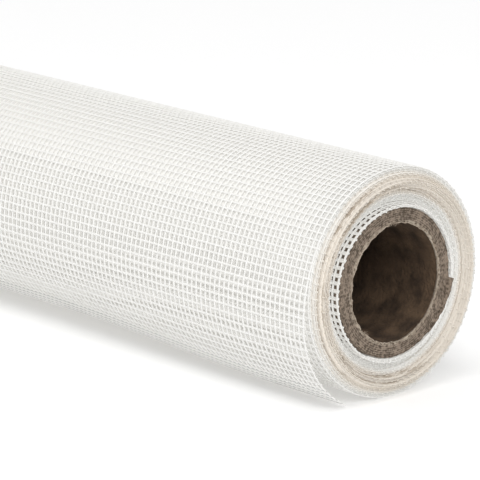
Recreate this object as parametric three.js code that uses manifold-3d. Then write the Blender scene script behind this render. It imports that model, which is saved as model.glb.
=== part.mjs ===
// A small retail roll of white fiberglass insect screen, lying on its side as it would on a floor.
// One continuous web of PVC-coated yarn is wound 24 times round a cardboard core. Its free end has
// sprung a little way off the roll and hangs just clear of the floor.
// Millimetres. X runs along the roll, +Z is up, and the free end hangs on the -Y side.
// The origin is on the floor, straight under the middle of the core's axis.
import * as THREE from "three";
import Module from "manifold-3d";
import { mergeVertices } from "three/addons/utils/BufferGeometryUtils.js";

const wasm = await Module();
wasm.setup();

// Cardboard core
const CORE_BORE_DIAMETER = 25.4;
const CORE_WALL = 3;
const CORE_LENGTH = 914;

// Screen web
const WEB_WIDTH = 914;
const TURN_PITCH = 0.345; // radial build of one turn, where crossed yarns press into their neighbours
const TURN_GROUPS = 12;
const TURNS_PER_GROUP = 2;
const CORE_CLEARANCE = 0.3; // between the core and the first turn

// How far the turns' edges wander along the roll. The web keeps its width, so what stands out at
// one end is set back at the other.
const EDGE_DRIFT = 1.8;
const DRIFT_BULGE = 0.55; // share of that drift in one broad bulge, halfway out
const DRIFT_RIPPLE = 0.45; // share in a ripple from the core to the outside
const RIPPLE_HALF_WAVES = 3;
const TURN_STEP = 0.35; // every second group stands this much further along

// Loose free end
const CLOTH_THICKNESS = 0.45; // a little more than the woven cloth's, to stand as one solid sheet
const TAIL_SINK = 0.15; // how deep the tail starts in the roll's outer turn
const TAIL_START_DEG = 158; // both measured in the YZ plane from +Y, through the top
const TAIL_TIP_DEG = 240.7;
const TAIL_LIFT = 0.75; // gap under the free end, over most of its width
const CORNER_LIFT = 2.3; // more gap under the corner that has curled up at the +X end
const CORNER_FLAT = 18; // length of the corner that is lifted in full
const CORNER_FADE = 72; // length over which that lift dies out
const TAIL_EASE = 0.8; // share of the tail's arc over which it eases off the roll
const TAIL_ARC_STEPS = 12;
const TAIL_LENGTH_STEPS = 14; // closest together at the lifted corner

const SIDES = 48;
const WELD_DISTANCE = 1e-4; // points nearer than this are one corner

const coreBoreRadius = CORE_BORE_DIAMETER / 2;
const coreRadius = coreBoreRadius + CORE_WALL;
const webBoreRadius = coreRadius + CORE_CLEARANCE;
const groupBuild = TURN_PITCH * TURNS_PER_GROUP;
const rollRadius = webBoreRadius + groupBuild * TURN_GROUPS;

// Turns a closed outline of [radius, distance along X] about the X axis, with a flat side at the
// bottom. The outline runs so that the solid lies on its left.
function turnedSolid(outline, sides) {
  const points = outline.map(([radius, along]) => new THREE.Vector2(radius, along));
  points.push(points[0].clone());
  const geometry = new THREE.LatheGeometry(points, sides, Math.PI / sides);
  return geometry.rotateZ(-Math.PI / 2);
}

// How far a group of turns has slipped towards +X, from 0 at the core to 1 at the outside.
function edgeDrift(group) {
  const build = (group + 0.5) / TURN_GROUPS;
  const ripple = DRIFT_RIPPLE * Math.cos(RIPPLE_HALF_WAVES * Math.PI * build);
  const wave = ripple + DRIFT_BULGE * Math.sin(Math.PI * build);
  return EDGE_DRIFT * wave + TURN_STEP * ((group % 2) - 0.5);
}

function coreTube() {
  const end = CORE_LENGTH / 2;
  const outline = [
    [coreBoreRadius, -end],
    [coreRadius, -end],
    [coreRadius, end],
    [coreBoreRadius, end],
  ];
  return turnedSolid(outline, SIDES);
}

// The wound turns as one ring, whose two ends are stepped where the groups of turns have slipped.
function woundTurns() {
  const nearEnd = [];
  const farEnd = [];
  for (let group = 0; group < TURN_GROUPS; group++) {
    const inner = webBoreRadius + group * groupBuild;
    const outer = inner + groupBuild;
    const near = WEB_WIDTH / 2 + edgeDrift(group);
    const far = near - WEB_WIDTH;
    nearEnd.unshift([outer, near], [inner, near]);
    farEnd.push([inner, far], [outer, far]);
  }
  return turnedSolid([...farEnd, ...nearEnd], SIDES);
}

// The gap under the free end at a distance from the +X end, once it has fully left the roll.
function tailLift(fromNearEnd) {
  const fade = THREE.MathUtils.smoothstep(fromNearEnd, CORNER_FLAT, CORNER_FLAT + CORNER_FADE);
  return TAIL_LIFT + CORNER_LIFT * (1 - fade);
}

// The last part of the outer turn: a thin sheet that follows the roll from TAIL_START_DEG and eases
// away from it towards its tip.
function looseTail() {
  const start = THREE.MathUtils.degToRad(TAIL_START_DEG);
  const tip = THREE.MathUtils.degToRad(TAIL_TIP_DEG);
  const outer = rollRadius - TAIL_SINK;
  const inner = outer - CLOTH_THICKNESS;
  const section = new THREE.Shape();
  section.absarc(0, 0, outer, start, tip, false);
  section.absarc(0, 0, inner, tip, start, true);
  section.closePath();
  const sheet = new THREE.ExtrudeGeometry(section, {
    depth: 1,
    steps: TAIL_LENGTH_STEPS,
    curveSegments: TAIL_ARC_STEPS,
    bevelEnabled: false,
  });
  const nearEdge = WEB_WIDTH / 2 + edgeDrift(TURN_GROUPS - 1);
  const position = sheet.getAttribute("position");
  for (let i = 0; i < position.count; i++) {
    const across = position.getX(i);
    const up = position.getY(i);
    const fromNearEnd = WEB_WIDTH * (1 - position.getZ(i)) ** 2;
    const angle = Math.atan2(up, across);
    const turned = angle < 0 ? angle + 2 * Math.PI : angle;
    const leaving = THREE.MathUtils.clamp((turned - start) / (tip - start), 0, 1);
    const lift = (tailLift(fromNearEnd) + TAIL_SINK) * THREE.MathUtils.smoothstep(leaving, 0, TAIL_EASE);
    const stretch = 1 + lift / Math.hypot(across, up);
    position.setXYZ(i, nearEdge - fromNearEnd, across * stretch, up * stretch);
  }
  return sheet;
}

// A closed geometry as a solid for joining.
function solidOf(geometry) {
  const bare = new THREE.BufferGeometry();
  bare.setAttribute("position", geometry.getAttribute("position"));
  bare.setIndex(geometry.getIndex());
  const merged = mergeVertices(bare, WELD_DISTANCE);
  return new wasm.Manifold(
    new wasm.Mesh({
      numProp: 3,
      vertProperties: merged.getAttribute("position").array,
      triVerts: new Uint32Array(merged.getIndex().array),
    }),
  );
}

// A solid's surface as a geometry.
function geometryOf(solid) {
  const mesh = solid.getMesh();
  const geometry = new THREE.BufferGeometry();
  geometry.setAttribute("position", new THREE.BufferAttribute(mesh.vertProperties, 3));
  geometry.setIndex(new THREE.BufferAttribute(mesh.triVerts, 1));
  geometry.computeVertexNormals();
  return geometry;
}

const screenMaterial = new THREE.MeshStandardMaterial({
  color: 0xecebe6,
  roughness: 0.6,
  metalness: 0,
});
const cardboardMaterial = new THREE.MeshStandardMaterial({
  color: 0x7d6a58,
  roughness: 0.9,
  metalness: 0,
});

const screenRoll = new THREE.Mesh(
  geometryOf(solidOf(woundTurns()).add(solidOf(looseTail()))),
  screenMaterial,
);
screenRoll.name = "screen_roll";

const coreMesh = new THREE.Mesh(coreTube(), cardboardMaterial);
coreMesh.name = "core_tube";

const roll = new THREE.Group();
roll.add(screenRoll, coreMesh);

// Stands the flat under the roll's axis on the floor.
roll.position.z = rollRadius * Math.cos(Math.PI / SIDES);

export default roll;
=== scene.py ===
# A small retail roll of white fiberglass insect screen on a cardboard core, lying on its side.
# The cloth is built yarn by yarn where it shows: its outer turns, its loose free end and both
# wound ends. Metres, with X along the roll and +Z up, as in the frame.
import math

import bmesh
import bpy
import numpy as np
from mathutils import Matrix, Vector, noise


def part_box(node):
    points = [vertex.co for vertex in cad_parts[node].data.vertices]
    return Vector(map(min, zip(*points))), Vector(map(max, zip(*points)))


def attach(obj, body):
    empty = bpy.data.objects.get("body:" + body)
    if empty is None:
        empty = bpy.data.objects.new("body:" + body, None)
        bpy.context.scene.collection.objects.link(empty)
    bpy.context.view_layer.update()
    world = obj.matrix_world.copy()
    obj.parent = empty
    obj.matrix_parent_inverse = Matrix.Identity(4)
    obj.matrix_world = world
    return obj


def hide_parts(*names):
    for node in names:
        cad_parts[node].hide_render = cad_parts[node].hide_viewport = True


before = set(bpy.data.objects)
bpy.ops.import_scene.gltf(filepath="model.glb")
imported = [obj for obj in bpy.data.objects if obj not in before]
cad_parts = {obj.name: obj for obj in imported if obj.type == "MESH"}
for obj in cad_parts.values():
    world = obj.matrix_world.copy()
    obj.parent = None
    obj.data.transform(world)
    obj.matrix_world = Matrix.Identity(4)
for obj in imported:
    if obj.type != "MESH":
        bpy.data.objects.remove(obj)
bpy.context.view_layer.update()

scene = bpy.context.scene

# Camera, looking down a little on the near end of the roll, which goes away to the upper left.
# The aim is the middle of the near end, set off to the right of the picture and below its middle.
CAMERA_TURN = math.radians(47.31)
CAMERA_TILT = math.radians(14.76)
CAMERA_DISTANCE = 0.7463
CAMERA_LENS = 273.5
AIM_RIGHT = 0.03174
AIM_DOWN = 0.0088

core_low, core_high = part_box("core_tube")
AXIS_HEIGHT = (core_low.z + core_high.z) / 2
CORE_END = core_high.x

camera_data = bpy.data.cameras.new("camera")
camera_data.lens = CAMERA_LENS
camera = bpy.data.objects.new("camera", camera_data)
scene.collection.objects.link(camera)
camera.rotation_euler = (math.pi / 2 - CAMERA_TILT, 0, CAMERA_TURN)
camera_axes = camera.rotation_euler.to_matrix()
near_end_middle = Vector((CORE_END, 0, AXIS_HEIGHT))
camera.location = near_end_middle + camera_axes @ Vector((-AIM_RIGHT, AIM_DOWN, CAMERA_DISTANCE))
scene.camera = camera

# Studio: a pale floor that glows a little, as a light table does, and soft light from all round,
# with a broad lamp high above the near end and a weaker one before it. Each lamp has a name, a
# place, a size and a power.
FLOOR_SIZE = 12.0
FLOOR_GLOW = 0.1
FLOOR_PALE = (0.95, 0.95, 0.95, 1)
FLOOR_SHADE = (0.93, 0.93, 0.93, 1)
SKY_STRENGTH = 0.52
LAMPS = (
    ("high_lamp", Vector((0.75, -0.95, 2.85)), 2.2, 37),
    ("end_lamp", Vector((2.3, -1.0, 1.5)), 1.2, 24),
)

scene.view_settings.view_transform = "Standard"
world = bpy.data.worlds.new("studio")
world.use_nodes = True
world.node_tree.nodes["Background"].inputs["Color"].default_value = (1, 1, 1, 1)
world.node_tree.nodes["Background"].inputs["Strength"].default_value = SKY_STRENGTH
scene.world = world

for lamp_name, lamp_place, lamp_size, lamp_power in LAMPS:
    lamp_data = bpy.data.lights.new(lamp_name, "AREA")
    lamp_data.energy = lamp_power
    lamp_data.size = lamp_size
    lamp = bpy.data.objects.new(lamp_name, lamp_data)
    scene.collection.objects.link(lamp)
    lamp.location = lamp_place
    lamp.rotation_euler = (Vector((CORE_END, 0, 0)) - lamp_place).to_track_quat("-Z", "Y").to_euler()


def new_piece(name, bm, material):
    """The bmesh as a named object at the origin, with one material."""
    mesh = bpy.data.meshes.new(name)
    bm.to_mesh(mesh)
    bm.free()
    mesh.materials.append(material)
    piece = bpy.data.objects.new(name, mesh)
    scene.collection.objects.link(piece)
    return piece


class Signal:
    """A value on its way through a material's nodes, so that maths on it reads as maths."""

    def __init__(self, tree, socket):
        self.tree = tree
        self.socket = socket

    def node(self, kind, settings, inputs, output=0):
        made = self.tree.nodes.new(kind)
        for name, value in settings.items():
            if name == "stops":
                ramp = made.color_ramp.elements
                while len(ramp) < len(value):
                    ramp.new(0.5)
                for stop, (place, colour) in zip(ramp, value):
                    stop.position = place
                    stop.color = colour
            else:
                setattr(made, name, value)
        for name, value in inputs.items():
            if isinstance(value, Signal):
                self.tree.links.new(value.socket, made.inputs[name])
            else:
                made.inputs[name].default_value = value
        return Signal(self.tree, made.outputs[output])

    def maths(self, operation, *values):
        return self.node("ShaderNodeMath", {"operation": operation}, dict(enumerate(values)))

    def sine(self):
        return self.maths("SINE", self)

    def absolute(self):
        return self.maths("ABSOLUTE", self)

    def square_root(self):
        return self.maths("SQRT", self)

    def __add__(self, other):
        return self.maths("ADD", self, other)

    def __radd__(self, other):
        return self.maths("ADD", other, self)

    def __sub__(self, other):
        return self.maths("SUBTRACT", self, other)

    def __rsub__(self, other):
        return self.maths("SUBTRACT", other, self)

    def __mul__(self, other):
        return self.maths("MULTIPLY", self, other)

    def __rmul__(self, other):
        return self.maths("MULTIPLY", other, self)

    def between(self, low, high):
        """0 below low, 1 above high, and smooth between them."""
        settings = {"interpolation_type": "SMOOTHSTEP"}
        return self.node("ShaderNodeMapRange", settings, {"Value": self, "From Min": low, "From Max": high})

    def mix(self, colour_at_0, colour_at_1):
        """The colour that this value, from 0 to 1, picks between two colours."""
        inputs = {0: self, 6: colour_at_0, 7: colour_at_1}
        return self.node("ShaderNodeMix", {"data_type": "RGBA"}, inputs, output=2)


def new_material(name, roughness):
    """A material, its shader, and its Object coordinates as a signal."""
    material = bpy.data.materials.new(name)
    material.use_nodes = True
    tree = material.node_tree
    shader = tree.nodes["Principled BSDF"]
    shader.inputs["Roughness"].default_value = roughness
    place = Signal(tree, tree.nodes.new("ShaderNodeTexCoord").outputs["Object"])
    return material, shader, place


def speckle(place, scale, detail=2.0):
    """Noise from 0 to 1, with its size set by scale."""
    return place.node("ShaderNodeTexNoise", {}, {"Vector": place, "Scale": scale, "Detail": detail})


def wire(signal, shader, name):
    signal.tree.links.new(signal.socket, shader.inputs[name])


def relief(height, shader, distance, strength):
    """Bumps the shader's surface by a height signal."""
    inputs = {"Height": height, "Distance": distance, "Strength": strength}
    wire(height.node("ShaderNodeBump", {}, inputs), shader, "Normal")


floor_material, floor_shader, floor_place = new_material("studio_floor", 0.9)
wire(speckle(floor_place, 3.0).mix(FLOOR_SHADE, FLOOR_PALE), floor_shader, "Base Color")
floor_shader.inputs["Emission Color"].default_value = (1, 1, 1, 1)
floor_shader.inputs["Emission Strength"].default_value = FLOOR_GLOW
floor_mesh = bmesh.new()
bmesh.ops.create_grid(floor_mesh, x_segments=1, y_segments=1, size=FLOOR_SIZE / 2)
floor = new_piece("studio_floor", floor_mesh, floor_material)

# Core: a spirally wound cardboard tube, sawn to length, so that its end is rough and fibrous. The
# saw tore the bore's lining ply into a pale ragged lip, left fibres standing round it, and lifted
# a sliver of the outer ply on one side.
CORE_BORE = 0.0127
CORE_RADIUS = 0.0157
CORE_SIDES = 360
END_RINGS = (0, 0.0002, 0.0006, 0.0011, 0.0016, 0.0021, 0.0026, 0.0029, 0.003)  # from the bore out
DEPTH_RINGS = (0.0004, 0.001, 0.002, 0.004, 0.008, 0.016, 0.032, 0.064, 0.2)  # from each end in
SAWN_DEPTH = 0.0006
SAWN_ROUGHNESS = 0.00022
SAWN_WAVES = 900
TORN_BACK = 0.0003  # width of the end face's inner rim that tore with the lining
RAGGED = 0.00032
RAGGED_WAVES = ((1, 420), (0.7, 1300), (0.4, 3100))  # share and fineness of each
LIP_THICKNESS = 0.00016
LIP_FEATHER = 0.00002  # its thickness where it runs out inside the bore
LIP_DEPTH = 0.0006
LIP_PROUD = 0.00012
LIP_WAVER = 0.00025  # how unevenly it stands out of the end
LIP_INWARD = 0.25  # share of its raggedness that is the same all round
SLIVER_FROM = math.radians(-6)
SLIVER_TO = math.radians(-52)
SLIVER_STEPS = 40
SLIVER_LENGTH = 0.003
SLIVER_SINK = 0.0001  # how deep it starts in the board
SLIVER_THICKNESS = 0.00012
SLIVER_FEATHER = 0.00002
SLIVER_TIP = 0.0002
SLIVER_OUT = 0.0002
SLIVER_PROUD = 0.0011
FIBRE_RADIUS = 0.00004
FIBRE_TAPER = 0.4
FIBRE_ROOT = 0.0001  # how far behind the end face a fibre starts
FIBRE_MIDDLE = 0.45  # share of a fibre's length from its root to its middle, a little sunk
FIBRE_FINENESS = 1600
BLOTCH_FINENESS = 350
PLY_WAVES = 14000  # a full wave for each ply of 0.45 mm
LINING_EDGE = (0.0001, 0.0004)  # out from the bore, where the lining ends
TORN_WIDTH = (0.0007, 0.0012)  # out from the bore, where the pale torn paper ends
TORN_WAVER = 0.0012
END_FACE = (0.0006, 0.0001)  # in from the core's end, over which the torn paper's colour sets in
BORE_SHADE_REACH = (0.055, 0.004)  # in from the core's end, over which the lining goes from paler at the mouth to a painted shade deeper in
CORE_PALE = (0.30, 0.235, 0.18, 1)
CORE_DARK = (0.085, 0.062, 0.043, 1)
LINING = (0.15, 0.095, 0.055, 1)
# The next colour is stains near the mouth, and a painted shade all over deeper in the bore.
LINING_STAIN_AND_SHADE = (0.04, 0.024, 0.014, 1)
TORN_EDGE = (0.46, 0.39, 0.31, 1)


def spun(section, steps, start=0.0, sweep=math.tau):
    """A closed section of (x, radius) points, turned about the roll's axis from a start angle."""
    bm = bmesh.new()
    rim = [bm.verts.new((x, radius * math.cos(start), AXIS_HEIGHT + radius * math.sin(start)))
           for x, radius in section]
    for corner, following in zip(rim, rim[1:] + rim[:1]):
        bm.edges.new((corner, following))
    whole = sweep == math.tau
    if not whole:
        bm.faces.new(rim)
    bmesh.ops.spin(bm, geom=bm.verts[:] + bm.edges[:] + bm.faces[:], cent=(0, 0, AXIS_HEIGHT),
                   axis=(1, 0, 0), angle=sweep, steps=steps, use_merge=whole)
    bmesh.ops.remove_doubles(bm, verts=bm.verts, dist=1e-6)
    bmesh.ops.recalc_face_normals(bm, faces=bm.faces)
    for face in bm.faces:
        face.smooth = abs(face.normal.x) < 0.5
    return bm


def ragged(place):
    """Noise for a torn edge, broad waves with finer ones on them."""
    return sum(share * noise.noise(place * waves) for share, waves in RAGGED_WAVES)


def from_axis(point):
    """The part of a point's place that goes straight out from the roll's axis."""
    return Vector((0, point.y, point.z - AXIS_HEIGHT))


def round_axis(place):
    """How far a place is along the roll, beside its axis, and from its axis, as signals."""
    along = place.node("ShaderNodeSeparateXYZ", {}, {"Vector": place})
    beside = Signal(along.tree, along.socket.node.outputs[1])
    above = Signal(along.tree, along.socket.node.outputs[2]) - AXIS_HEIGHT
    return along, beside, (beside * beside + above * above).square_root()


section = [(CORE_END - depth, CORE_BORE) for depth in reversed(DEPTH_RINGS)]
section += [(CORE_END, CORE_BORE + step) for step in END_RINGS]
section += [(CORE_END - depth, CORE_RADIUS) for depth in DEPTH_RINGS]
section += [(-x, radius) for x, radius in reversed(section)]
core_mesh = spun(section, CORE_SIDES)
for vertex in core_mesh.verts:
    if CORE_END - abs(vertex.co.x) < SAWN_DEPTH:
        outward = from_axis(vertex.co)
        vertex.co.x += SAWN_ROUGHNESS * noise.noise(vertex.co * SAWN_WAVES)
        if outward.length < CORE_BORE + TORN_BACK:
            vertex.co -= outward.normalized() * RAGGED * ragged(vertex.co)

core_material, core_shader, core_place = new_material("core_board", 0.92)
core_x, _, core_radius = round_axis(core_place)
fibres = speckle(core_place, FIBRE_FINENESS, 4.0)
blotches = speckle(core_place, BLOTCH_FINENESS, 3.0)
plies = (core_radius * PLY_WAVES + blotches * 2.0).sine()
board_tone = (fibres * 0.65 + blotches * 0.35 + plies * 0.05).between(0.38, 0.60)
board = board_tone.mix(CORE_DARK, CORE_PALE)
in_bore = 1 - core_radius.between(CORE_BORE + LINING_EDGE[0], CORE_BORE + LINING_EDGE[1])
end_face = core_x.absolute().between(CORE_END - END_FACE[0], CORE_END - END_FACE[1])
# The lining is painted darker deeper in the bore, a painted shade; near the mouth it is mottled with
# stains.
unshaded_mouth = core_x.absolute().between(CORE_END - BORE_SHADE_REACH[0], CORE_END - BORE_SHADE_REACH[1])
lining = (speckle(core_place, 260, 4.0).between(0.25, 0.75) * unshaded_mouth).mix(LINING_STAIN_AND_SHADE, LINING)
torn_radius = core_radius + blotches * TORN_WAVER
torn = (1 - torn_radius.between(CORE_BORE + TORN_WIDTH[0], CORE_BORE + TORN_WIDTH[1])) * end_face
clean_core = in_bore.mix(board, lining)
wire((torn * fibres.between(0.3, 0.6)).mix(clean_core, TORN_EDGE), core_shader, "Base Color")
relief(fibres + plies * 0.1, core_shader, 0.0005, 0.9)

lip_material, lip_shader, lip_place = new_material("torn_lip", 0.95)
wire(speckle(lip_place, 900, 3.0).between(0.3, 0.65).mix(CORE_PALE, TORN_EDGE), lip_shader, "Base Color")
relief(speckle(lip_place, 2600, 3.0), lip_shader, 0.0002, 0.6)


def core_piece(name, bm, material):
    piece = new_piece(name, bm, material)
    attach(piece, "root")
    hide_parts("core_tube")


core_piece("core_board", core_mesh, core_material)
for end_name, side in (("near", 1), ("far", -1)):
    lip_front = side * (CORE_END + LIP_PROUD)
    lip_back = side * (CORE_END - LIP_DEPTH)
    lip_section = [(lip_front, CORE_BORE - LIP_THICKNESS), (lip_front, CORE_BORE),
                   (lip_back, CORE_BORE), (lip_back, CORE_BORE - LIP_FEATHER)]
    lip_mesh = spun(lip_section, CORE_SIDES)
    for vertex in lip_mesh.verts:
        if abs(vertex.co.x) > CORE_END:
            outward = from_axis(vertex.co).normalized()
            vertex.co -= outward * RAGGED * (LIP_INWARD + ragged(vertex.co))
            vertex.co.x += side * LIP_WAVER * ragged(vertex.co + Vector((0.1, 0, 0)))
    core_piece("torn_lip_" + end_name, lip_mesh, lip_material)

sliver_front = CORE_END + SLIVER_TIP
sliver_back = CORE_END - SLIVER_LENGTH
sliver_inside = CORE_RADIUS - SLIVER_SINK
sliver_section = [(sliver_front, sliver_inside), (sliver_front, CORE_RADIUS + SLIVER_THICKNESS),
                  (sliver_back, CORE_RADIUS + SLIVER_FEATHER), (sliver_back, sliver_inside)]
sliver_mesh = spun(sliver_section, SLIVER_STEPS, SLIVER_FROM, SLIVER_TO - SLIVER_FROM)
for vertex in sliver_mesh.verts:
    outward = from_axis(vertex.co)
    share = (math.atan2(outward.z, outward.y) - SLIVER_TO) / (SLIVER_FROM - SLIVER_TO)
    if vertex.co.x > CORE_END:
        vertex.co += outward.normalized() * SLIVER_OUT * share ** 2
        vertex.co.x += SLIVER_PROUD * share + SLIVER_TIP * ragged(vertex.co)
core_piece("lifted_sliver", sliver_mesh, core_material)


def standing_fibres(count, middle, spread, longest, seed):
    """Thin paper fibres on the bore's lip, round an angle, pointing out of the bore or into it."""
    bm = bmesh.new()
    random = np.random.default_rng(seed)
    for _ in range(count):
        angle = middle + spread * random.uniform(-1, 1)
        outward = Vector((0, math.cos(angle), math.sin(angle)))
        around = Vector((0, -math.sin(angle), math.cos(angle)))
        lean = outward * random.uniform(-1.0, 0.3) + around * random.uniform(-0.9, 0.9)
        lean += Vector((0.5, 0, 0))
        length = longest * random.uniform(0.35, 1)
        root = Vector((CORE_END - FIBRE_ROOT, 0, AXIS_HEIGHT))
        root += outward * (CORE_BORE + random.uniform(-0.0001, 0.0005))
        turn = lean.to_track_quat("Z", "Y").to_matrix().to_4x4()
        place = Matrix.Translation(root + lean.normalized() * length * FIBRE_MIDDLE) @ turn
        bmesh.ops.create_cone(bm, cap_ends=True, segments=3, depth=length, matrix=place,
                              radius1=FIBRE_RADIUS, radius2=FIBRE_RADIUS * FIBRE_TAPER)
    return bm


core_piece("fibres_round", standing_fibres(300, 0, math.pi, 0.0005, 1), lip_material)
core_piece("fibres_top", standing_fibres(26, math.radians(93), 0.09, 0.0012, 2), lip_material)
core_piece("fibres_low", standing_fibres(12, math.radians(226), 0.05, 0.0011, 3), lip_material)
core_piece("fibres_front", standing_fibres(70, math.radians(-64), 0.25, 0.0008, 4), lip_material)

# Cloth: glass yarn coated with white PVC, woven with 18 warps to the inch, which run round the
# roll, and about 16 wefts to the inch, which run along it. It is wound as one spiral from the loose
# free end down to the core. The yarns are laid out flat first, and then wound with the cloth.
INCH = 0.0254
WARP_PITCH = INCH / 18
WEFTS_A_TURN = 95
YARN_WIDTH = 0.0005
YARN_HEIGHT = 0.00024
CRIMP = 0.00004
WEB_WIDTH = 0.914
SELVEDGE = 0.0004
FIRST_WEFT = 0.0006
TURNS = 24
TIP_ANGLE = math.radians(240.7)
GAPS_AT = (7.3, 10.9, 13.2)  # turns under which the cloth was wound less tightly
GAP = 0.00026
GAP_OPENS = 0.3  # turns over which a gap opens
WAVER = 0.00002
RIDGE = 0.0015  # how far the middle turns stand out at the near end
RIDGE_TURN = 9.5
RIDGE_SPREAD = 3.4
VALLEY = 0.0013  # how far the turns inside them lie back
VALLEY_TURNS = (14, 19)
INNER_PROUD = 0.0008
OUTER_SET_BACK = 0.0004
OUTER_TURNS = 6
STRAY = 0.00034  # how far a turn strays from its neighbours
STRAY_TURNS = 3.7
STRAY_SETS_IN = (0.4, 2)
STRAY_DIES_OUT = (17, 20)
EDGE_WAVER = 0.00006
MIDDLE_DRIFT = 0.3  # share of all this that is left beyond the edge zone
EDGE_ZONE = (0.002, 0.022)
TAIL_START = math.radians(158)
TAIL_LIFT = 0.0006
TAIL_EASE = 0.8  # share of the tail over which it eases off the roll
CORNER_LIFT = 0.0021
CORNER_FLAT = 0.018
CORNER_FADE = 0.072
LOOSE_GAP = 0.00075
LOOSE_FROM = 12
STUB_SHORTEST = -0.0001  # how far a weft's end stands past the cloth's edge
STUB_LONGEST = 0.00012
YARN_WHITE = (0.75, 0.745, 0.727, 1)
YARN_WARM = (0.72, 0.712, 0.686, 1)
# The next colour is a cream painted shade for the middle rings of the wound ends.
YARN_CREAM_SHADE = (0.60, 0.525, 0.43, 1)
# The next colour is a brown painted shade for lines between turns.
YARN_SHADE_BROWN = (0.30, 0.235, 0.17, 1)
# The yarns' and the pack's emission is a painted glow, which lightens their shade.
PAINTED_GLOW = (1, 0.99, 0.96, 1)
YARN_PAINTED_GLOW = 0.15  # painted glow that lifts the yarns' shade, standing in for light through and between them
# Where the cream painted shade lies on the wound ends.
END_SHADE_SHARE = 0.75
END_SHADE_FROM = (0.0186, 0.0202)  # radii between which the cream painted shade sets in
END_SHADE_TO = (0.0228, 0.0244)
END_SHADE_DEPTH = (0.006, 0.001)
END_SHADE_WAVER = 0.0012
# Broken brown lines of painted shade between a few turns of the wound ends, mostly on the left.
RING_SHADE_SHARE = 0.75
RING_SHADE_RADII = (0.0199, 0.0204, 0.0211, 0.0221)
RING_SHADE_WIDTH = 0.00016
RING_SHADE_SLANT = 0.03  # the lines come closer to the axis on the right
RING_SHADE_WAVER = 0.0008
RING_SHADE_DEPTH = (0.004, 0.001)
UNSHADED_SIDE = (0.002, 0.012)  # to the right of the axis, over which most of the painted shade ends
UNSHADED_SIDE_SHARE = 0.75

INNER_TURNS = (TURNS - 2.8, TURNS - 2.1)
FIRST_WARP = WEB_WIDTH / 2 - SELVEDGE
WARPS = int((WEB_WIDTH - 2 * SELVEDGE) / WARP_PITCH) + 1
HALF_THICKNESS = YARN_HEIGHT / 2 + CRIMP
TIP_TO_FLOOR = (TIP_ANGLE + math.pi / 2) / math.tau
CLOTH_BUILD = AXIS_HEIGHT - CORE_RADIUS - 2 * HALF_THICKNESS - GAP * len(GAPS_AT)
TURN_BUILD = CLOTH_BUILD / (TURNS - TIP_TO_FLOOR)
TIP_RADIUS = AXIS_HEIGHT - HALF_THICKNESS + TURN_BUILD * TIP_TO_FLOOR


def smooth(value, low, high):
    """0 below low, 1 above high, and smooth between them."""
    share = np.clip((value - low) / (high - low), 0, 1)
    return share * share * (3 - 2 * share)


def turn_radius(wound):
    """Radius of the cloth's middle, after it is wound this many radians in from its tip."""
    turns_in = wound / math.tau
    left_side = np.clip(-np.cos(TIP_ANGLE - wound), 0, 1) ** 1.5
    looseness = np.clip((turns_in - LOOSE_FROM) / (TURNS - LOOSE_FROM), 0, 1) ** 1.5
    waver = WAVER * np.sin(2.3 * turns_in + 0.7) * np.sin(0.37 * turns_in * turns_in)
    gaps = sum(GAP * smooth(turns_in, at, at + GAP_OPENS) for at in GAPS_AT)
    return TIP_RADIUS - TURN_BUILD * turns_in - gaps + LOOSE_GAP * left_side * looseness + waver


def edge_drift(x, wound):
    """How far the cloth wandered along the core, at its edges the most."""
    turns_in = wound / math.tau
    drift = RIDGE * np.exp(-(((turns_in - RIDGE_TURN) / RIDGE_SPREAD) ** 2))
    drift -= VALLEY * smooth(turns_in, *VALLEY_TURNS)
    drift += (VALLEY + INNER_PROUD) * smooth(turns_in, *INNER_TURNS)
    drift -= OUTER_SET_BACK * (1 - smooth(turns_in, 0, OUTER_TURNS))
    stray = STRAY * smooth(turns_in, *STRAY_SETS_IN) * (1 - smooth(turns_in, *STRAY_DIES_OUT))
    drift += stray * np.sin(math.tau * turns_in / STRAY_TURNS)
    drift += EDGE_WAVER * np.sin(5.1 * turns_in)
    from_end = WEB_WIDTH / 2 - np.abs(x)
    return drift * (1 - (1 - MIDDLE_DRIFT) * smooth(from_end, *EDGE_ZONE))


def tail_lift(x, wound):
    """How far the free end has sprung off the roll, most at its near corner."""
    from_near_end = WEB_WIDTH / 2 - x
    corner = CORNER_LIFT * (1 - smooth(from_near_end, CORNER_FLAT, CORNER_FLAT + CORNER_FADE))
    leaving = (TIP_ANGLE - wound - TAIL_START) / (TIP_ANGLE - TAIL_START)
    return (TAIL_LIFT + corner) * smooth(leaving, 0, TAIL_EASE)


wound_table = np.linspace(0, (TURNS + 0.1) * math.tau, 40000)
length_table = np.concatenate([[0], np.cumsum(turn_radius(wound_table[1:]) * np.diff(wound_table))])


def length_at(turns_in):
    """Length of cloth from its tip to so many turns in."""
    return float(np.interp(turns_in * math.tau, wound_table, length_table))


WEFT_PITCH = (length_at(1.25) - length_at(0.25)) / WEFTS_A_TURN


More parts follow.
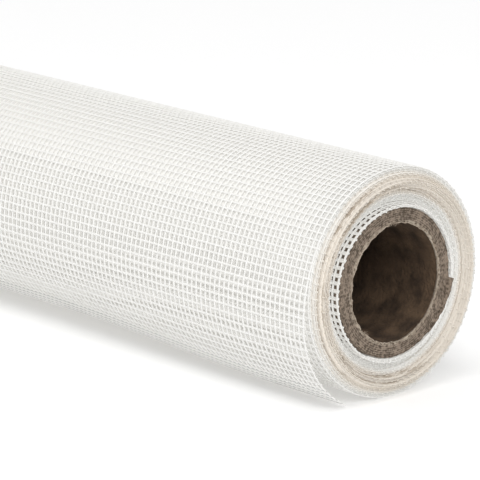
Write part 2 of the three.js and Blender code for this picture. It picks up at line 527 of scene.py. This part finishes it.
def laid_yarns(name, start, run, steps, spread, copies, sides):
    """A piece of straight yarns side by side, each from start along run in so many steps. Their ends
    are split from their sides, so that smooth shading doesn't bend round them."""
    bm = bmesh.new()
    turn = Vector((0, 0, 1)).rotation_difference(run).to_matrix().to_4x4()
    flatten = Matrix.Diagonal((1, 1, YARN_HEIGHT / YARN_WIDTH, 1))
    bmesh.ops.create_circle(bm, cap_ends=True, segments=sides, radius=YARN_WIDTH / 2,
                            matrix=Matrix.Translation(start) @ flatten @ turn)
    bmesh.ops.spin(bm, geom=bm.verts[:] + bm.edges[:] + bm.faces[:], axis=(0, 0, 1),
                   dvec=run, steps=steps)
    bm.normal_update()
    ends = [face for face in bm.faces if abs(face.normal.dot(run.normalized())) > 0.5]
    bmesh.ops.split_edges(bm, edges=[edge for face in ends for edge in face.edges])
    for face in bm.faces:
        face.smooth = True
    piece = new_piece(name, bm, yarn_material)
    array = piece.modifiers.new("side_by_side", "ARRAY")
    array.use_relative_offset = False
    array.use_constant_offset = True
    array.constant_offset_displace = spread
    array.count = copies
    evaluated = piece.evaluated_get(bpy.context.evaluated_depsgraph_get())
    laid = bpy.data.meshes.new_from_object(evaluated)
    piece.modifiers.clear()
    piece.data = laid
    return piece


def wind(piece, crossing_runs_round, crimp, seed):
    """Moves flat yarns on to the roll. X runs along the roll, Y from the cloth's tip, and Z is the
    height over the cloth's middle."""
    mesh = piece.data
    flat = np.empty(len(mesh.vertices) * 3, np.float32)
    mesh.vertices.foreach_get("co", flat)
    x, length, height = flat.reshape(-1, 3).astype(float).T
    across = (FIRST_WARP - x) / WARP_PITCH
    along = (length - FIRST_WEFT) / WEFT_PITCH
    if crossing_runs_round:
        height = height + crimp * np.cos(math.pi * (along + np.round(across)))
        length = np.maximum(length, 0)
    else:
        height = height - crimp * np.cos(math.pi * (across + np.round(along)))
        rows = np.round(along).astype(int)
        random = np.random.default_rng(seed)
        stub = random.uniform(STUB_SHORTEST, STUB_LONGEST, rows.max() + 2)[rows]
        x = np.clip(x, -WEB_WIDTH / 2 - stub, WEB_WIDTH / 2 + stub)
    wound = np.interp(length, length_table, wound_table)
    radius = turn_radius(wound) + tail_lift(x, wound) + height
    angle = TIP_ANGLE - wound
    along_roll = x + edge_drift(x, wound)
    placed = np.column_stack([along_roll, radius * np.cos(angle), AXIS_HEIGHT + radius * np.sin(angle)])
    mesh.vertices.foreach_set("co", placed.astype(np.float32).ravel())
    mesh.update()


def painted_end_shade(place):
    """1 where a cream painted shade lies on the middle rings of both wound ends, for warm shade among the
    turns' edges, and else 0.
    """
    along, _, from_centre = round_axis(place)
    radius = from_centre + speckle(place, 90) * END_SHADE_WAVER
    rings = radius.between(*END_SHADE_FROM) * (1 - radius.between(*END_SHADE_TO))
    at_end = along.absolute().between(WEB_WIDTH / 2 - END_SHADE_DEPTH[0], WEB_WIDTH / 2 - END_SHADE_DEPTH[1])
    return rings * at_end * END_SHADE_SHARE


def painted_ring_shade(place):
    """1 on broken brown lines of painted shade between a few turns of both wound ends, mostly left of the
    axis, and else 0.
    """
    along, beside, from_centre = round_axis(place)
    radius = from_centre + beside * RING_SHADE_SLANT + speckle(place, 45) * RING_SHADE_WAVER
    lines = 0.0
    for line_radius in RING_SHADE_RADII:
        off_line = (radius - line_radius).absolute()
        lines = lines + (1 - off_line.between(RING_SHADE_WIDTH * 0.3, RING_SHADE_WIDTH))
    broken = speckle(place, 260).between(0.3, 0.55)
    left_side = 1 - beside.between(*UNSHADED_SIDE) * UNSHADED_SIDE_SHARE
    at_end = along.absolute().between(WEB_WIDTH / 2 - RING_SHADE_DEPTH[0], WEB_WIDTH / 2 - RING_SHADE_DEPTH[1])
    return lines * broken * left_side * at_end * RING_SHADE_SHARE


yarn_material, yarn_shader, yarn_place = new_material("coated_yarn", 0.5)
coating = speckle(yarn_place, 1200)
# A cream painted shade on the middle rings of both wound ends.
cream_shade = painted_end_shade(yarn_place)
# Broken brown lines of painted shade between a few turns of both wound ends.
ring_shade = painted_ring_shade(yarn_place)
unshaded_yarn = cream_shade.mix(coating.between(0.3, 0.7).mix(YARN_WARM, YARN_WHITE), YARN_CREAM_SHADE)
wire(ring_shade.mix(unshaded_yarn, YARN_SHADE_BROWN), yarn_shader, "Base Color")
# Emission: a painted glow on every yarn, which turns brown on the lines of painted shade.
wire(ring_shade.mix(PAINTED_GLOW, YARN_SHADE_BROWN), yarn_shader, "Emission Color")
yarn_shader.inputs["Emission Strength"].default_value = YARN_PAINTED_GLOW
wire(coating.between(0.2, 0.8) * 0.2 + 0.42, yarn_shader, "Roughness")
relief(speckle(yarn_place, 5000), yarn_shader, 0.00004, 0.5)


def screen_piece(piece):
    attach(piece, "root")
    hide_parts("screen_roll")


def cloth(name, warps, turns, sides, warp_every=1, crimp=CRIMP):
    """A stretch of woven cloth as two pieces, its warps and its wefts, wound on to the roll. A weft
    starts at the warp before its stretch, so that neighbouring stretches join."""
    first_warp, last_warp = warps
    first_weft = math.ceil((length_at(turns[0]) - FIRST_WEFT) / WEFT_PITCH)
    last_weft = math.floor((length_at(turns[1]) - FIRST_WEFT) / WEFT_PITCH)
    warp_rows = last_warp - first_warp + 1
    weft_rows = last_weft - first_weft + 1
    first_length = FIRST_WEFT + first_weft * WEFT_PITCH
    warp_start = Vector((FIRST_WARP - first_warp * WARP_PITCH, first_length - WEFT_PITCH, 0))
    warp_run = Vector((0, WEFT_PITCH * warp_every, 0))
    warp_steps = math.ceil((weft_rows + 1) / warp_every)
    warp_piece = laid_yarns(name + "_warp", warp_start, warp_run, warp_steps,
                            Vector((-WARP_PITCH, 0, 0)), warp_rows, sides)
    weft_start = Vector((FIRST_WARP - (first_warp - 1) * WARP_PITCH, first_length, 0))
    crimped = crimp > 0 and warp_every == 1
    weft_gaps = warp_rows + (1 if last_warp == WARPS - 1 else 0)
    weft_steps = weft_gaps if crimped else 1
    weft_run = Vector((-WARP_PITCH * weft_gaps / weft_steps, 0, 0))
    weft_piece = laid_yarns(name + "_weft", weft_start, weft_run, weft_steps,
                            Vector((0, WEFT_PITCH, 0)), weft_rows, sides)
    wind(warp_piece, True, crimp if crimped else 0, 1)
    wind(weft_piece, False, crimp if crimped else 0, first_weft)
    screen_piece(warp_piece)
    screen_piece(weft_piece)


def selvedge(name, x, turns):
    """The doubled yarn that binds one edge of the cloth, beside its first warp."""
    steps = math.floor((length_at(turns[1]) - length_at(turns[0])) / WEFT_PITCH / 2)
    start = Vector((x, FIRST_WEFT + length_at(turns[0]), 0))
    piece = laid_yarns(name, start, Vector((0, WEFT_PITCH * 2, 0)), steps, Vector((0, 0, 0)), 1, 4)
    wind(piece, True, 0, 1)
    screen_piece(piece)


SELVEDGE_STEP = 0.00036  # from the first warp in to the doubled yarn
SELVEDGE_FROM = 1.4  # turns in from the tip, before which the near edge is built without it
SELVEDGE_LEFT = 2.6  # turns at the core that are built without it
selvedge("selvedge_near", FIRST_WARP - SELVEDGE_STEP, (SELVEDGE_FROM, TURNS - SELVEDGE_LEFT))
selvedge("selvedge_far", SELVEDGE_STEP - FIRST_WARP, (0, TURNS - SELVEDGE_LEFT))

OUTSIDE = (0, 1.25)
SECOND = (1.25, 2.25)
NEAR_WARPS = 92
FAR_WARP = 371
END_WARPS = 4
INNER_WARPS = 11
INNER_LOOSE = 2  # turns next to the core, which stand a little off each other
cloth("outer_turn_near", (0, NEAR_WARPS - 1), OUTSIDE, 5)
cloth("second_turn_near", (0, NEAR_WARPS - 1), SECOND, 3, warp_every=2)
cloth("outer_turn_middle", (NEAR_WARPS, FAR_WARP - 1), OUTSIDE, 3, warp_every=2)
cloth("outer_turn_far", (FAR_WARP, WARPS - 1), OUTSIDE, 3, warp_every=2)
cloth("near_end_turns", (0, END_WARPS - 1), (SECOND[1], TURNS - INNER_LOOSE), 4)
cloth("near_inner_turns", (0, INNER_WARPS - 1), (TURNS - INNER_LOOSE, TURNS), 4)
cloth("far_end_turns", (WARPS - END_WARPS, WARPS - 1), (OUTSIDE[1], TURNS), 4, crimp=0)

# Hem: extra wefts between the first ones of the free end, which close its openings. They lie close, and
# their colour is a grey painted shade for the free end's underside, which faces the floor; they lack the
# other yarns' painted glow.
HEM_SHADED_PALE = (0.66, 0.66, 0.64, 1)
HEM_SHADED_DARK = (0.60, 0.60, 0.58, 1)
HEM_WEFTS = 4
HEM_STEP = 8  # warps to a step
hem_start = Vector((FIRST_WARP + WARP_PITCH, FIRST_WEFT + WEFT_PITCH / 2, 0))
hem = laid_yarns("hem", hem_start, Vector((-WARP_PITCH * HEM_STEP, 0, 0)),
                 math.ceil((WARPS + 1) / HEM_STEP), Vector((0, WEFT_PITCH, 0)), HEM_WEFTS, 4)
wind(hem, False, 0, 5)
# The hem's material is a grey painted shade.
hem_shade_material, hem_shader, hem_place = new_material("hem_yarn_painted_shade", 0.55)
wire(speckle(hem_place, 900, 2.0).mix(HEM_SHADED_DARK, HEM_SHADED_PALE), hem_shader, "Base Color")
hem.data.materials[0] = hem_shade_material
screen_piece(hem)

# Wound pack: the turns under the outer ones, which show only through their openings, with a painted glow.
# Away from the near end it lies under one turn instead of two, so it starts further out there, and its
# colour and glow are a darker painted shade for the second turn that is not built over it.
PACK_DEPTH = 0.0011
PACK_INNER_DEPTH = 0.0028
PACK_DEEPENS = (15, 20)  # turns over which its ends go deeper
PACK_INNER = 0.0170
PACK_FROM_NEAR = 2.1
PACK_FROM_FAR = 1.4
PACK_TO = TURNS - 3
PACK_RINGS = 24
PACK_SIDES = 96
PACK_STEP = 0.001
TONE_STEP = 0.006
# The pack's emission is a painted glow; where it lies under one turn its colour and glow are a darker
# painted shade.
PACK_PAINTED_GLOW = 0.31
PACK_WHITE = (0.80, 0.79, 0.77, 1)
PACK_SHADE = (0.76, 0.75, 0.725, 1)
ONE_TURN_PAINTED_SHADE = (0.725, 0.715, 0.695, 1)


def pack_end(side, turn_from):
    """Points of the pack's end, from its outside in, a little behind the edges of the cloth."""
    points = []
    for turns_in in np.linspace(turn_from, PACK_TO, PACK_RINGS):
        radius = TIP_RADIUS - TURN_BUILD * turns_in - HALF_THICKNESS
        deeper = float(smooth(turns_in, *PACK_DEEPENS))
        depth = PACK_DEPTH + (PACK_INNER_DEPTH - PACK_DEPTH) * deeper
        drift = float(edge_drift(side * WEB_WIDTH / 2, turns_in * math.tau))
        points.append((side * (WEB_WIDTH / 2 - depth) + drift, radius))
    return points


near_points = pack_end(1, PACK_FROM_NEAR)
far_points = pack_end(-1, PACK_FROM_FAR)
step_x = WEB_WIDTH / 2 - NEAR_WARPS * WARP_PITCH
step_points = [(step_x, near_points[0][1]), (step_x - PACK_STEP, far_points[0][1])]
outline = near_points[::-1] + step_points + far_points
outline += [(far_points[-1][0], PACK_INNER), (near_points[-1][0], PACK_INNER)]
pack_mesh = spun(outline, PACK_SIDES, math.pi / 2)
for face in pack_mesh.faces:
    face.smooth = True

pack_material, pack_shader, pack_place = new_material("wound_pack", 0.7)
pack_x, _, _ = round_axis(pack_place)
pack_x = pack_x + speckle(pack_place, 300) * TONE_STEP
under_two_turns = pack_x.between(step_x, step_x + TONE_STEP)
pack_white = speckle(pack_place, 900).mix(PACK_SHADE, PACK_WHITE)
# Under one turn the pack gets a darker painted shade, in its colour and its glow.
pack_tone = under_two_turns.mix(ONE_TURN_PAINTED_SHADE, pack_white)
# The pack's ends carry the same cream painted shade as the yarns.
wire(painted_end_shade(pack_place).mix(pack_tone, YARN_CREAM_SHADE), pack_shader, "Base Color")
wire(under_two_turns.mix(ONE_TURN_PAINTED_SHADE, PAINTED_GLOW), pack_shader, "Emission Color")
pack_shader.inputs["Emission Strength"].default_value = PACK_PAINTED_GLOW
screen_piece(new_piece("wound_pack", pack_mesh, pack_material))
